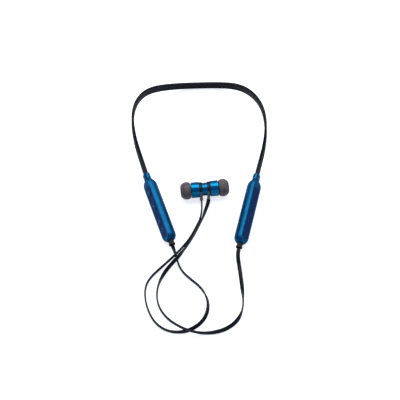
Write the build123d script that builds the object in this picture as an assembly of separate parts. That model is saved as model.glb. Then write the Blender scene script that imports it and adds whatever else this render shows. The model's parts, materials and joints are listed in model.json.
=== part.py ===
"""Neckband earphones, millimetres, +Z up, standing surface at z = 0.

A flat strap stands on edge and joins two casings. The left casing holds the keys, the circuit board and the
charging socket, and the right casing holds the battery. A flat cable runs from each casing to an earbud, and
the two earbuds lie back to back, held by their magnets. The origin is the middle of the strap and casings.
"""
from build123d import *
import math
import os

# ---- strap -------------------------------------------------------------------------------------------------
STRAP_HEIGHT = 6.8
STRAP_THICKNESS = 2.0
STRAP_CORNER = 0.55
STRAP_LEAN = 10.0  # degrees, outer face tipped up at the strap's two ends
STRAP_STATIONS_PER_SPAN = 3
CORE_STATIONS_PER_SPAN = 4
STRAP_INSERT = 8.0  # length of strap inside the sleeve and casing
STRAP_STRAIGHT = [STRAP_INSERT, 5.5, 3.0, 0.5, -2.0]  # control points on each casing's axis
CHANNEL_SIZE = (1.0, 4.6)
SPRING_SIZE = (0.5, 1.2)
SPRING_OFFSET = 1.3  # above the strap's mid height
SPRING_STUB = 2.4  # bare strip beyond each end of the strap
ANCHOR_SIZE = (3.0, 1.0, 3.0)  # length, half width and half height
RIBBON_SIZE = (0.6, 2.2)
RIBBON_OFFSET = -0.9

# Guide points of the strap's centre line, between its two straight ends.
STRAP_GUIDE = [
    (-45.5, 1.5, 6.8),
    (-49.2, 10.5, 13.5),
    (-52.4, 24.5, 20.5),
    (-52.0, 40.0, 23.0),
    (-44.5, 57.5, 19.0),
    (-29.5, 69.0, 9.5),
    (-11.0, 75.0, 3.5),
    (4.0, 75.6, 3.4),
    (18.0, 75.8, 3.4),
    (33.0, 69.0, 10.5),
    (44.0, 54.0, 19.0),
    (50.8, 37.0, 23.0),
    (52.2, 20.0, 20.0),
    (50.2, 7.5, 13.0),
    (47.7, -0.5, 7.0),
]
STRAP_DEGREE = 3

# ---- casings -----------------------------------------------------------------------------------------------
CASING_RADIUS = 5.4
FLAT_OFFSET = 3.5  # from the casing's axis to its flat outer face
SLEEVE_LENGTH = 6.0
HOUSING_LENGTH = 54.6
RELIEF_LENGTH = 3.8
CASING_TOTAL = SLEEVE_LENGTH + HOUSING_LENGTH + RELIEF_LENGTH
HOUSING_END = SLEEVE_LENGTH + HOUSING_LENGTH
END_ROUNDING = 3.7
WALL = 1.1
SLEEVE_RADII = (2.75, 4.15)
SLEEVE_ROLL = 9.5
SLEEVE_GAP = 0.3  # groove between the sleeve and the housing
SLEEVE_CHAMFER = 0.5
SLOT_CLEARANCE = 0.15
SHOULDER = [(0.0, 2.9, 4.3), (1.4, 4.2, 4.95), (3.2, 5.15, 5.3), (5.4, 5.4, 5.4)]
CAVITY_START = SLEEVE_LENGTH + 1.4
CAVITY_END = HOUSING_END - 2.0
CAVITY_FLAT = 1.6  # highest level of the cavity, towards the flat face
CAVITY_CHAMFER = 0.6
PAST = 1.0  # how far a cutting shape runs past what it cuts

PANEL_START = 11.5
PANEL_END = 57.3
PANEL_WIDTH = 6.5
PANEL_THICKNESS = 0.9
PANEL_PROUD = 0.06
LEDGE_WIDTH = 5.2
LEDGE_MARGIN = 3.0
LEDGE_FLOOR = 0.5

# Where each casing's cable leaves it, how far its axis turns from the front-to-back line, and how far its
# flat face is tipped up, in degrees.
CASINGS = {
    "left": {"exit": (-20.05, -72.95), "turn": 19.1, "roll": 31.0},
    "right": {"exit": (29.35, -75.35), "turn": 13.6, "roll": 40.0},
}

# ---- keys, board and socket in the left casing -------------------------------------------------------------
KEY_CENTRES = {"button_volume_up": 17.0, "button_play": 29.8, "button_volume_down": 43.2}
KEY_SIZE = (6.2, 2.9)
KEY_GAP = 0.1
KEY_PROUD = 0.4
KEY_FLANGE = 0.4
KEY_FLANGE_EDGE = 0.45
KEY_BOTTOM = 1.75
KEY_CHAMFER = 0.18
NUB_RADIUS = 0.7
SWITCH_SIZE = (3.2, 2.6, 0.5)
SWITCH_DOME = (0.9, 0.1)
BOARD_SIZE = (44.0, 6.2, 0.8)
BOARD_START = 12.0
BOARD_TOP = 0.7
SHIELD_SIZE = (13.0, 4.8, 1.2)
SHIELD_START = 19.0
SHIELD_CHAMFER = 0.25
MICROPHONE_SIZE = (3.6, 2.8, 1.0)
MICROPHONE_START = 15.0
MICROPHONE_PORT = (0.4, 1.0)  # radius and depth
LED_RADIUS = 0.65
LED_STATION = 49.8
SOCKET_SIZE = (7.4, 3.65, 2.7)  # along the casing, depth, height
SOCKET_STATION = 42.0
SOCKET_WALL = 0.35
SOCKET_MOUTH = -4.05
SOCKET_TONGUE = (5.0, 2.2, 0.6)
FLAP_LENGTH = 10.4
FLAP_HALF_HEIGHT = 2.2
FLAP_FLOOR = -4.17
POCKET_FLOOR = -4.1
POCKET_GAP = 0.12
POCKET_TOP = 2.5  # room above the hinge for the flap's outer edge as it swings up
HINGE_RADIUS = 0.35
HINGE_DEPTH = -4.52
HINGE_HEIGHT = 1.85

# ---- battery in the right casing ---------------------------------------------------------------------------
BATTERY_SIZE = (36.0, 4.9, 3.8)
BATTERY_START = 13.5
BATTERY_TOP = 1.2
BATTERY_EDGE = 0.6
FOAM_SIZE = (28.0, 4.0, 0.3)
FOAM_START = 17.5
PROTECTION_SIZE = (6.0, 4.6, 0.8)
PROTECTION_START = 50.5

# ---- strain relief on each casing --------------------------------------------------------------------------
RELIEF_ROOT = (2.2, 1.9)  # half width and half height
RELIEF_TIP = (1.85, 1.55)
RELIEF_PLUG = 1.9
RELIEF_PLUG_RADIUS = 1.6
RELIEF_COLLAR = (1.0, 2.4, 2.1)  # length, half width, half height
RELIEF_GROOVES = [0.7, 1.7]
RELIEF_GROOVE = (0.5, 0.3)  # width and depth
RELIEF_CORNER = 0.8  # share of the half height
RELIEF_OVERLAP = 0.1

# ---- earbuds -----------------------------------------------------------------------------------------------
PAIR_CENTRE = (4.1, -25.6, 6.65)
PAIR_TURN = 6.0
MAGNET_GAP = 0.15
CAP_END = 1.95
CAP_RADIUS = 5.0
CAP_SKIN = 0.35
CAP_CHAMFER = 0.3
SPIGOT_RADIUS = 3.4
SPIGOT_WALL = 0.8
SPIGOT_END = 5.0
MAGNET_RADIUS = 4.2
MAGNET_THICKNESS = 1.2
RING_END = 4.25
RING_RADIUS = 5.6
RING_CHAMFER = 0.25
FIT = 0.05
BARREL_END = 10.4
BARREL_RADIUS = 6.0
BARREL_WALL = 0.7
BARREL_CHAMFER = 0.35
DRIVER_RADIUS = 5.2
DRIVER_SPAN = (5.7, 9.0)
DRIVER_CHAMFER = 0.8
DRIVER_RIM = (0.4, 0.6)  # height and width
NOZZLE_FLANGE = 1.1
NOZZLE_RADIUS = 2.2
NOZZLE_BORE = 1.6
NOZZLE_TIP = 15.8
NOZZLE_LIP = (0.8, 2.42)
MESH_THICKNESS = 0.3
TIP_START = 10.75
TIP_END = 18.6
CORE_RADII = (2.5, 3.2)
CORE_END = 17.6
# The dome's outer and inner outlines, as distances along the earbud and radii.
TIP_OUTSIDE = [(10.75, 5.6), (12.2, 6.4), (13.9, 6.6), (16.2, 5.9), (17.9, 4.3), (18.6, 2.8)]
TIP_INSIDE = [(10.75, 4.9), (12.2, 5.7), (13.9, 5.85), (15.6, 5.1), (16.9, 3.6), (16.6, 3.25)]
BOOT_START = 5.3  # from the ring's axis
BOOT_ROOT = (0.9, 1.7)  # half width and half height
BOOT_TIP = (1.1, 1.25)
BOOT_COLLAR = 1.0
BOOT_COLLAR_EXTRA = 0.15
BOOT_CORNER = 0.85  # share of the half width

# ---- cables ------------------------------------------------------------------------------------------------
CABLE_RADIUS = 1.0
ARC_SHARE = 0.45
LAY = 1.5  # height of a cable's middle where it lies on the surface
CABLE_ROUTES = {
    "left": [
        (-20.05, -72.95, 5.4), (-19.0, -76.0, 5.2), (-17.9, -79.2, 4.2), (-16.9, -82.0, 2.9),
        (-16.0, -85.0, 1.9), (-14.7, -88.8, LAY), (-12.0, -93.6, LAY), (-7.0, -98.6, LAY),
        (-1.0, -103.6, LAY), (3.8, -109.6, LAY), (6.5, -116.8, LAY), (6.1, -124.6, LAY),
        (3.0, -131.4, LAY), (-2.7, -136.8, LAY), (-10.2, -140.2, LAY), (-18.4, -140.7, LAY),
        (-26.2, -138.0, LAY), (-32.2, -132.6, LAY), (-36.2, -125.4, LAY), (-38.8, -117.2, LAY),
        (-39.6, -109.2, LAY), (-38.5, -102.6, LAY), (-35.0, -96.8, LAY), (-29.8, -91.5, 1.8),
        (-24.6, -87.3, 3.6), (-19.9, -83.7, 5.9), (-15.2, -78.6, 6.1), (-11.6, -72.6, 4.4),
        (-8.5, -66.6, 2.3), (-5.5, -60.6, LAY), (-2.9, -54.8, LAY), (-0.7, -49.2, LAY),
        (1.5, -43.4, 1.8), (2.06, -38.62, 3.2), (1.7, -34.2, 4.4),
    ],
    "right": [
        (29.35, -75.35, 5.4), (28.5, -79.2, 4.9), (28.6, -83.3, 3.6), (29.2, -87.4, 2.2),
        (29.9, -92.4, LAY), (30.6, -99.0, LAY), (31.3, -106.6, LAY), (31.8, -114.6, LAY),
        (31.4, -122.0, LAY), (29.2, -128.6, LAY), (24.8, -134.2, LAY), (18.6, -138.4, LAY),
        (11.2, -140.7, LAY), (3.6, -141.4, 1.6), (-2.4, -141.3, 3.2), (-7.2, -140.6, 4.9),
        (-12.2, -138.6, 4.9), (-17.0, -135.2, 3.3), (-21.6, -131.2, 1.7), (-25.6, -126.8, LAY),
        (-28.8, -121.6, LAY), (-30.6, -115.4, LAY), (-30.8, -108.6, LAY), (-29.4, -101.8, LAY),
        (-26.6, -95.8, 1.8), (-23.2, -91.2, 3.2), (-19.2, -87.0, 5.2), (-14.4, -81.3, 5.4),
        (-9.9, -74.2, 4.2), (-6.8, -68.2, 2.4), (-3.9, -62.6, LAY), (-1.2, -57.4, LAY),
        (1.2, -52.0, LAY), (3.6, -46.2, 1.6), (5.5, -41.2, 2.2), (7.06, -36.8, 3.5), (7.1, -33.5, 4.4),
    ],
}


# ---- small helpers -----------------------------------------------------------------------------------------
def box(x, y, z):
    """A box from (low, high) pairs along each axis."""
    centre = Pos((x[0] + x[1]) / 2, (y[0] + y[1]) / 2, (z[0] + z[1]) / 2)
    return centre * Box(x[1] - x[0], y[1] - y[0], z[1] - z[0])


def rod(start, end, radius, y=0.0, z=0.0):
    """A cylinder along X from start to end."""
    return Pos((start + end) / 2, y, z) * Rot(Y=90) * Cylinder(radius, end - start)


def slab(x, width, y):
    """A plate with round ends that spans x, with its thickness along Y from y[0] to y[1]."""
    plane = Plane(origin=((x[0] + x[1]) / 2, y[0], 0), x_dir=(1, 0, 0), z_dir=(0, 1, 0))
    return extrude(plane * SlotOverall(x[1] - x[0], width), y[1] - y[0])


def casing_axis(side):
    """Unit vector along a casing, from the strap towards the cable."""
    turn = math.radians(CASINGS[side]["turn"])
    return Vector(math.sin(turn) if side == "left" else -math.sin(turn), -math.cos(turn), 0)


def on_casing(side, distance):
    """The point of a casing's axis at a distance from the sleeve's mouth."""
    x, y = CASINGS[side]["exit"]
    return Vector(x, y, CASING_RADIUS) + casing_axis(side) * (distance - CASING_TOTAL)


def place_on_casing(shape, side, roll=None):
    """Put a shape made for the right casing, x along it, y out of its flat face, on either casing."""
    rolled = Rot(X=CASINGS[side]["roll"] if roll is None else roll) * shape
    if side == "left":
        rolled = mirror(rolled, about=Plane.XZ)
    frame = Plane(origin=on_casing(side, 0), x_dir=casing_axis(side), z_dir=(0, 0, 1))
    return frame.location * rolled


def place_on_pair(shape, side):
    """Put a shape made for the right earbud, x outwards from the magnet plane, on either earbud."""
    if side == "left":
        shape = mirror(shape, about=Plane.YZ)
    return Pos(*PAIR_CENTRE) * Rot(Z=PAIR_TURN) * shape


# ---- strap -------------------------------------------------------------------------------------------------
def strap_controls():
    """All control points of the strap's centre line, ends inside the two casings."""
    left = [on_casing("left", distance) for distance in STRAP_STRAIGHT]
    right = [on_casing("right", distance) for distance in reversed(STRAP_STRAIGHT)]
    return left + [Vector(*point) for point in STRAP_GUIDE] + right


def strap_point(controls, u):
    """The point at parameter u of a clamped cubic B-spline through the control polygon."""
    count, degree = len(controls), STRAP_DEGREE
    knots = [0] * degree + list(range(count - degree + 1)) + [count - degree] * degree
    span = min(int(u) + degree, count - 1)
    points = [controls[span - degree + i] for i in range(degree + 1)]
    for level in range(1, degree + 1):
        for i in range(degree, level - 1, -1):
            low = knots[span - degree + i]
            high = knots[span + 1 + i - level]
            share = (u - low) / (high - low)
            points[i] = points[i - 1] * (1 - share) + points[i] * share
    return points[degree]


def strap_frames(stations_per_span):
    """Planes across the strap, x inwards and z along it, evenly spaced in the curve's parameter."""
    controls = strap_controls()
    end = len(controls) - STRAP_DEGREE
    count = end * stations_per_span
    step = 1e-4
    frames = []
    for i in range(count + 1):
        u = end * i / count
        before = strap_point(controls, max(u - step, 0))
        after = strap_point(controls, min(u + step, end))
        along = (after - before).normalized()
        inwards = along.cross(Vector(0, 0, 1)).normalized()
        up = inwards.cross(along)
        lean = math.radians(STRAP_LEAN) * (2 * i / count - 1) ** 2
        across = inwards * math.cos(lean) - up * math.sin(lean)
        frames.append(Plane(origin=strap_point(controls, u), x_dir=across, z_dir=along))
    return frames


def along_strap(outline):
    """Loft one outline smoothly through the stations of the strap."""
    return loft([frame * outline for frame in strap_frames(STRAP_STATIONS_PER_SPAN)])


def inside_strap(outline, stub=0.0):
    """Run one outline through closer stations, in short flats, with a stub beyond each end."""
    frames = strap_frames(CORE_STATIONS_PER_SPAN)
    frames[0] = frames[0].offset(-stub)
    frames[-1] = frames[-1].offset(stub)
    return loft([frame * outline for frame in frames], ruled=True)


def neckband_strap():
    outer = along_strap(RectangleRounded(STRAP_THICKNESS, STRAP_HEIGHT, STRAP_CORNER))
    return outer - along_strap(Rectangle(*CHANNEL_SIZE))


def neckband_spring():
    # The planes' y axis points down, so an offset upwards is negative.
    return inside_strap(Pos(0, -SPRING_OFFSET) * Rectangle(*SPRING_SIZE), SPRING_STUB)


def neckband_conductors():
    return inside_strap(Pos(0, -RIBBON_OFFSET) * Rectangle(*RIBBON_SIZE))


# ---- casings -----------------------------------------------------------------------------------------------
def strap_slot(start, end):
    """The opening that the strap fills, along a casing's axis."""
    width = STRAP_THICKNESS / 2 + SLOT_CLEARANCE
    height = STRAP_HEIGHT / 2 + SLOT_CLEARANCE
    return Rot(X=SLEEVE_ROLL) * box((start, end), (-width, width), (-height, height))


def neck_sleeve():
    face = Plane.YZ * Ellipse(*SLEEVE_RADII)
    body = extrude(face, SLEEVE_LENGTH - SLEEVE_GAP)
    body = chamfer(body.edges().group_by(Axis.X)[0], SLEEVE_CHAMFER)
    return Rot(X=SLEEVE_ROLL) * body - strap_slot(-PAST, SLEEVE_LENGTH)


def strap_anchor():
    start = STRAP_INSERT + FIT
    length, half_width, half_height = ANCHOR_SIZE
    block = box((start, start + length), (-half_width, half_width), (-half_height, half_height))
    width, height = (size / 2 + FIT for size in SPRING_SIZE)
    block -= box(
        (start - PAST, start + SPRING_STUB + FIT),
        (-width, width),
        (SPRING_OFFSET - height, SPRING_OFFSET + height),
    )
    return Rot(X=SLEEVE_ROLL) * block


def casing_outside(roll):
    sections = [
        Plane(origin=(SLEEVE_LENGTH + x, 0, 0), x_dir=(0, 1, 0), z_dir=(1, 0, 0)) * Ellipse(y, z)
        for x, y, z in SHOULDER
    ]
    shoulder = loft(sections)
    straight = rod(SLEEVE_LENGTH + SHOULDER[-1][0], HOUSING_END, CASING_RADIUS)
    straight = fillet(straight.edges().group_by(Axis.X)[-1], END_ROUNDING)
    body = Rot(X=SLEEVE_ROLL - roll) * (shoulder + straight)
    reach = 2 * CASING_RADIUS
    return body - box((0, CASING_TOTAL), (FLAT_OFFSET, FLAT_OFFSET + reach), (-reach, reach))


def casing_shell(side):
    roll = CASINGS[side]["roll"]
    inner_radius = CASING_RADIUS - WALL
    cavity = rod(CAVITY_START, CAVITY_END, inner_radius)
    cavity = chamfer(cavity.edges().group_by(Axis.X)[0], CAVITY_CHAMFER)
    cavity = fillet(cavity.edges().group_by(Axis.X)[-1], END_ROUNDING - WALL)
    cavity -= box((0, CASING_TOTAL), (CAVITY_FLAT, CASING_RADIUS), (-CASING_RADIUS, CASING_RADIUS))
    recess = slab((PANEL_START, PANEL_END), PANEL_WIDTH, (FLAT_OFFSET - PANEL_THICKNESS, CASING_RADIUS))
    opening = (PANEL_START + LEDGE_MARGIN / 2, PANEL_END - LEDGE_MARGIN / 2)
    ledge = slab(opening, LEDGE_WIDTH, (LEDGE_FLOOR, CASING_RADIUS))
    shell = casing_outside(roll) - cavity - recess - ledge
    shell -= Rot(X=-roll) * strap_slot(0, STRAP_INSERT + ANCHOR_SIZE[0] + 3 * FIT)
    return shell - rod(CAVITY_END - PAST, HOUSING_END + PAST, RELIEF_PLUG_RADIUS)


def hinge_rod(radius, start, end):
    return rod(start, end, radius, y=HINGE_DEPTH, z=HINGE_HEIGHT)


def left_housing():
    half = FLAP_LENGTH / 2 + POCKET_GAP
    span = (SOCKET_STATION - half, SOCKET_STATION + half)
    outside = -2 * CASING_RADIUS
    pocket = box(span, (outside, POCKET_FLOOR), (-FLAP_HALF_HEIGHT - POCKET_GAP, HINGE_HEIGHT))
    pocket += hinge_rod(HINGE_RADIUS + POCKET_GAP, *span)
    pocket += box(span, (outside, HINGE_DEPTH), (0, POCKET_TOP))
    length, depth, height = SOCKET_SIZE
    opening = box(
        (SOCKET_STATION - length / 2 - FIT, SOCKET_STATION + length / 2 + FIT),
        (POCKET_FLOOR - PAST, SOCKET_MOUTH + depth),
        (-height / 2 - FIT, height / 2 + FIT),
    )
    return casing_shell("left") - pocket - opening


def face_panel(key_openings):
    panel = slab(
        (PANEL_START + FIT, PANEL_END - FIT),
        PANEL_WIDTH - 2 * FIT,
        (FLAT_OFFSET - PANEL_THICKNESS, FLAT_OFFSET + PANEL_PROUD),
    )
    if key_openings:
        length, width = KEY_SIZE
        for station in KEY_CENTRES.values():
            span = (station - length / 2 - KEY_GAP, station + length / 2 + KEY_GAP)
            panel -= slab(span, width + 2 * KEY_GAP, (0, CASING_RADIUS))
        panel -= Pos(LED_STATION, 0, 0) * Rot(X=90) * Cylinder(LED_RADIUS + FIT, 3 * CASING_RADIUS)
    return panel


def button(station):
    length, width = KEY_SIZE
    span = (station - length / 2, station + length / 2)
    top = FLAT_OFFSET + KEY_PROUD
    underside = FLAT_OFFSET - PANEL_THICKNESS - KEY_GAP
    key = slab(span, width, (underside, top))
    key = chamfer(key.edges().group_by(Axis.Y)[-1], KEY_CHAMFER)
    flange = (span[0] - KEY_FLANGE_EDGE, span[1] + KEY_FLANGE_EDGE)
    key += slab(flange, width + 2 * KEY_FLANGE_EDGE, (underside - KEY_FLANGE, underside))
    nub = Rot(X=90) * Cylinder(NUB_RADIUS, underside - KEY_BOTTOM)
    return key + Pos(station, (KEY_BOTTOM + underside) / 2, 0) * nub


def tact_switches():
    length, width, height = SWITCH_SIZE
    dome_radius, dome_height = SWITCH_DOME
    switches = []
    for station in KEY_CENTRES.values():
        body = box(
            (station - length / 2, station + length / 2),
            (BOARD_TOP, BOARD_TOP + height),
            (-width / 2, width / 2),
        )
        dome = Pos(station, BOARD_TOP + height + dome_height / 2, 0) * Rot(X=90)
        switches.append(body + dome * Cylinder(dome_radius, dome_height))
    return Compound(switches)


def left_circuit_board():
    length, width, thickness = BOARD_SIZE
    return box(
        (BOARD_START, BOARD_START + length), (BOARD_TOP - thickness, BOARD_TOP), (-width / 2, width / 2)
    )


def under_board(start, size):
    """A component on the board's inner side."""
    top = BOARD_TOP - BOARD_SIZE[2]
    return box((start, start + size[0]), (top - size[2], top), (-size[1] / 2, size[1] / 2))


def chip_shield():
    shield = under_board(SHIELD_START, SHIELD_SIZE)
    return chamfer(shield.edges().group_by(Axis.Y)[0], SHIELD_CHAMFER)


def microphone():
    radius, depth = MICROPHONE_PORT
    face = BOARD_TOP - BOARD_SIZE[2] - MICROPHONE_SIZE[2]
    port = Pos(MICROPHONE_START + MICROPHONE_SIZE[0] / 2, face, 0) * Rot(X=90) * Cylinder(radius, depth)
    return under_board(MICROPHONE_START, MICROPHONE_SIZE) - port


def status_led_lens():
    low, high = FLAT_OFFSET - PANEL_THICKNESS, FLAT_OFFSET + PANEL_PROUD
    return Pos(LED_STATION, (low + high) / 2, 0) * Rot(X=90) * Cylinder(LED_RADIUS, high - low)


def usb_socket():
    length, depth, height = SOCKET_SIZE
    ends = (SOCKET_STATION - length / 2, SOCKET_STATION + length / 2)
    back = SOCKET_MOUTH + depth
    shell = box(ends, (SOCKET_MOUTH, back), (-height / 2, height / 2))
    inside = (ends[0] + SOCKET_WALL, ends[1] - SOCKET_WALL)
    room = height / 2 - SOCKET_WALL
    shell -= box(inside, (SOCKET_MOUTH - PAST, back - SOCKET_WALL), (-room, room))
    tongue_length, tongue_depth, tongue_height = SOCKET_TONGUE
    return shell + box(
        (SOCKET_STATION - tongue_length / 2, SOCKET_STATION + tongue_length / 2),
        (back - SOCKET_WALL - tongue_depth, back - SOCKET_WALL),
        (-tongue_height / 2, tongue_height / 2),
    )


def usb_cover():
    half = FLAP_LENGTH / 2
    ends = (SOCKET_STATION - half, SOCKET_STATION + half)
    plate = box(ends, (-2 * CASING_RADIUS, FLAP_FLOOR), (-FLAP_HALF_HEIGHT, HINGE_HEIGHT))
    plate &= rod(*ends, CASING_RADIUS - FIT)
    return plate + hinge_rod(HINGE_RADIUS, *ends)


def right_battery():
    length, width, thickness = BATTERY_SIZE
    span = (BATTERY_START, BATTERY_START + length)
    cell = box(span, (BATTERY_TOP - thickness, BATTERY_TOP), (-width / 2, width / 2))
    return fillet(cell.edges().filter_by(Axis.X), BATTERY_EDGE)


def battery_foam():
    length, width, thickness = FOAM_SIZE
    span = (FOAM_START, FOAM_START + length)
    return box(span, (BATTERY_TOP, BATTERY_TOP + thickness), (-width / 2, width / 2))


def battery_protection_board():
    length, width, thickness = PROTECTION_SIZE
    return box((PROTECTION_START, PROTECTION_START + length), (-thickness, 0), (-width / 2, width / 2))


def strain_relief():
    def section(x, half_width, half_height):
        plane = Plane(origin=(x, 0, 0), x_dir=(0, 1, 0), z_dir=(1, 0, 0))
        return plane * RectangleRounded(2 * half_width, 2 * half_height, RELIEF_CORNER * half_height)

    body = loft([section(HOUSING_END, *RELIEF_ROOT), section(CASING_TOTAL, *RELIEF_TIP)])
    collar_length, collar_width, collar_height = RELIEF_COLLAR
    collar = extrude(section(CASING_TOTAL - collar_length, collar_width, collar_height), collar_length)
    width, depth = RELIEF_GROOVE
    for groove in RELIEF_GROOVES:
        start = HOUSING_END + groove
        share = groove / RELIEF_LENGTH
        half_width = RELIEF_ROOT[0] * (1 - share) + RELIEF_TIP[0] * share - depth
        half_height = RELIEF_ROOT[1] * (1 - share) + RELIEF_TIP[1] * share - depth
        ring = extrude(section(start, 2 * RELIEF_ROOT[0], 2 * RELIEF_ROOT[1]), width)
        body -= ring - extrude(section(start, half_width, half_height), width)
    plug = rod(HOUSING_END - RELIEF_PLUG, HOUSING_END + RELIEF_OVERLAP, RELIEF_PLUG_RADIUS)
    return body + collar + plug


# ---- earbuds -----------------------------------------------------------------------------------------------
def turned(points):
    """Revolve an outline of (x, radius) points about the earbud's axis."""
    outline = make_face(Plane.XY * Polyline(*points, close=True))
    return revolve(outline, Axis.X)


def magnet_cap():
    cap = rod(MAGNET_GAP, CAP_END, CAP_RADIUS)
    cap = chamfer(cap.edges().group_by(Axis.X)[0], CAP_CHAMFER)
    cap += rod(CAP_END, SPIGOT_END, SPIGOT_RADIUS)
    start = MAGNET_GAP + CAP_SKIN
    cap -= rod(start, start + MAGNET_THICKNESS + 2 * FIT, MAGNET_RADIUS + FIT)
    return cap - rod(start + MAGNET_THICKNESS, SPIGOT_END + PAST, SPIGOT_RADIUS - SPIGOT_WALL)


def magnet():
    start = MAGNET_GAP + CAP_SKIN + FIT
    return rod(start, start + MAGNET_THICKNESS, MAGNET_RADIUS)


def ring_centre(side):
    """The middle of an earbud's black ring."""
    middle = (CAP_END + RING_END) / 2
    outwards = Vector(-middle if side == "left" else middle, 0, 0)
    return Vector(*PAIR_CENTRE) + outwards.rotate(Axis.Z, PAIR_TURN)


def boot(side):
    """The cable boot: it runs from the ring's axis to the end of the cable."""
    start, end = ring_centre(side), Vector(*CABLE_ROUTES[side][-1])
    along = (end - start).normalized()

    def section(point, half_width, half_height):
        plane = Plane(origin=point, x_dir=along.cross(Vector(0, 0, 1)), z_dir=along)
        return plane * RectangleRounded(2 * half_width, 2 * half_height, BOOT_CORNER * half_width)

    root = start + along * BOOT_START
    body = loft([section(root, *BOOT_ROOT), section(end, *BOOT_TIP)])
    half_width, half_height = (size + BOOT_COLLAR_EXTRA for size in BOOT_TIP)
    return body + extrude(section(end - along * BOOT_COLLAR, half_width, half_height), BOOT_COLLAR)


def cable_collar(side):
    ring = rod(CAP_END, RING_END, RING_RADIUS)
    ring = chamfer(ring.edges().group_by(Axis.X)[0], RING_CHAMFER)
    ring = place_on_pair(ring, side) + boot(side)
    return ring - place_on_pair(rod(CAP_END - PAST, RING_END + PAST, SPIGOT_RADIUS + FIT), side)


def barrel():
    body = rod(RING_END, BARREL_END, BARREL_RADIUS)
    body = chamfer(body.edges().group_by(Axis.X)[0] + body.edges().group_by(Axis.X)[-1], BARREL_CHAMFER)
    body -= rod(RING_END + BARREL_WALL + FIT, BARREL_END + PAST, BARREL_RADIUS - BARREL_WALL)
    return body - rod(RING_END - PAST, RING_END + 2 * PAST, SPIGOT_RADIUS + FIT)


def driver():
    start, end = DRIVER_SPAN
    basket = rod(start, end, DRIVER_RADIUS)
    basket = chamfer(basket.edges().group_by(Axis.X)[0], DRIVER_CHAMFER)
    rim_height, rim_width = DRIVER_RIM
    return basket - rod(end - rim_height, end + PAST, DRIVER_RADIUS - rim_width)


def nozzle():
    lip_length, lip_radius = NOZZLE_LIP
    flange_start = BARREL_END - NOZZLE_FLANGE
    return turned([
        (flange_start, NOZZLE_BORE),
        (flange_start, BARREL_RADIUS - BARREL_WALL - FIT),
        (BARREL_END, BARREL_RADIUS - BARREL_WALL - FIT),
        (BARREL_END, NOZZLE_RADIUS),
        (NOZZLE_TIP - lip_length, NOZZLE_RADIUS),
        (NOZZLE_TIP - lip_length / 2, lip_radius),
        (NOZZLE_TIP, NOZZLE_RADIUS),
        (NOZZLE_TIP, NOZZLE_BORE),
    ])


def nozzle_mesh():
    start = NOZZLE_TIP - NOZZLE_LIP[0]
    return rod(start, start + MESH_THICKNESS, NOZZLE_BORE)


def ear_tip_core():
    inner, outer = CORE_RADII
    return rod(TIP_START, CORE_END, outer) - rod(0, TIP_END, inner)


def ear_tip():
    """A soft dome: its outer wall folds back from the mouth, outside the core."""
    outside = Spline(*TIP_OUTSIDE)
    inside = Spline(*TIP_INSIDE)
    mouth = TIP_OUTSIDE[-1][1]
    seat = TIP_INSIDE[-1][1]
    lines = [
        outside,
        Line(outside @ 1, (CORE_END, mouth)),
        Line((CORE_END, mouth), (CORE_END, seat)),
        Line((CORE_END, seat), inside @ 1),
        inside,
        Line(inside @ 0, outside @ 0),
    ]
    return revolve(make_face(lines), Axis.X)


# ---- cables ------------------------------------------------------------------------------------------------
def cable_radii(points):
    """The largest tangent arc that each corner's two runs allow."""
    runs = [Vector(*end) - Vector(*start) for start, end in zip(points, points[1:])]
    radii = []
    for before, after in zip(runs, runs[1:]):
        half_turn = math.radians(before.get_angle(after)) / 2
        radii.append(ARC_SHARE * min(before.length, after.length) / math.tan(half_turn))
    return radii


def cable(side):
    points = CABLE_ROUTES[side]
    radii = cable_radii(points)
    path = FilletPolyline(*points, radius=radii)
    tube = sweep(Plane(origin=path @ 0, z_dir=path % 0) * Circle(CABLE_RADIUS), path=path)
    expected = math.pi * CABLE_RADIUS**2 * path.length
    print(f"{side} cable: length {path.length:.1f}, volume {tube.volume:.1f} of {expected:.1f}")
    print("  radii", " ".join(f"{radius:.0f}" for radius in radii))
    return tube


# ---- the whole set -----------------------------------------------------------------------------------------
def build_parts():
    parts = {
        "neckband_strap": neckband_strap(),
        "neckband_spring": neckband_spring(),
        "neckband_conductors": neckband_conductors(),
    }
    upright = {"neck_sleeve": neck_sleeve(), "strap_anchor": strap_anchor(), "strain_relief": strain_relief()}
    for side in CASINGS:
        for name, shape in upright.items():
            parts[f"{side}_{name}"] = place_on_casing(shape, side, roll=0)
        parts[f"{side}_cable"] = cable(side)
    left_casing = {
        "left_housing": left_housing(),
        "left_face_panel": face_panel(True),
        "tact_switches": tact_switches(),
        "left_circuit_board": left_circuit_board(),
        "chip_shield": chip_shield(),
        "microphone": microphone(),
        "status_led_lens": status_led_lens(),
        "usb_socket": usb_socket(),
        "usb_cover": usb_cover(),
    }
    for name, station in KEY_CENTRES.items():
        left_casing[name] = button(station)
    for name, shape in left_casing.items():
        parts[name] = place_on_casing(shape, "left")
    right_casing = {
        "right_housing": casing_shell("right"),
        "right_face_panel": face_panel(False),
        "battery": right_battery(),
        "battery_foam": battery_foam(),
        "battery_protection_board": battery_protection_board(),
    }
    for name, shape in right_casing.items():
        parts[name] = place_on_casing(shape, "right")
    earbud_pieces = {
        "magnet_cap": magnet_cap(),
        "magnet": magnet(),
        "barrel": barrel(),
        "driver": driver(),
        "nozzle": nozzle(),
        "nozzle_mesh": nozzle_mesh(),
        "ear_tip": ear_tip(),
        "ear_tip_core": ear_tip_core(),
    }
    for side in CASINGS:
        for name, shape in earbud_pieces.items():
            parts[f"{side}_{name}"] = place_on_pair(shape, side)
        parts[f"{side}_cable_collar"] = cable_collar(side)
    return parts


def main():
    os.makedirs("parts", exist_ok=True)
    for name, shape in build_parts().items():
        export_step(shape, f"parts/{name}.step")


if __name__ == "__main__":
    main()
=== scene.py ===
"""Neckband earphones: every visible piece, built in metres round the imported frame."""
import json
import math

import bmesh
import bpy
from mathutils import Matrix, Vector


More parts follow.
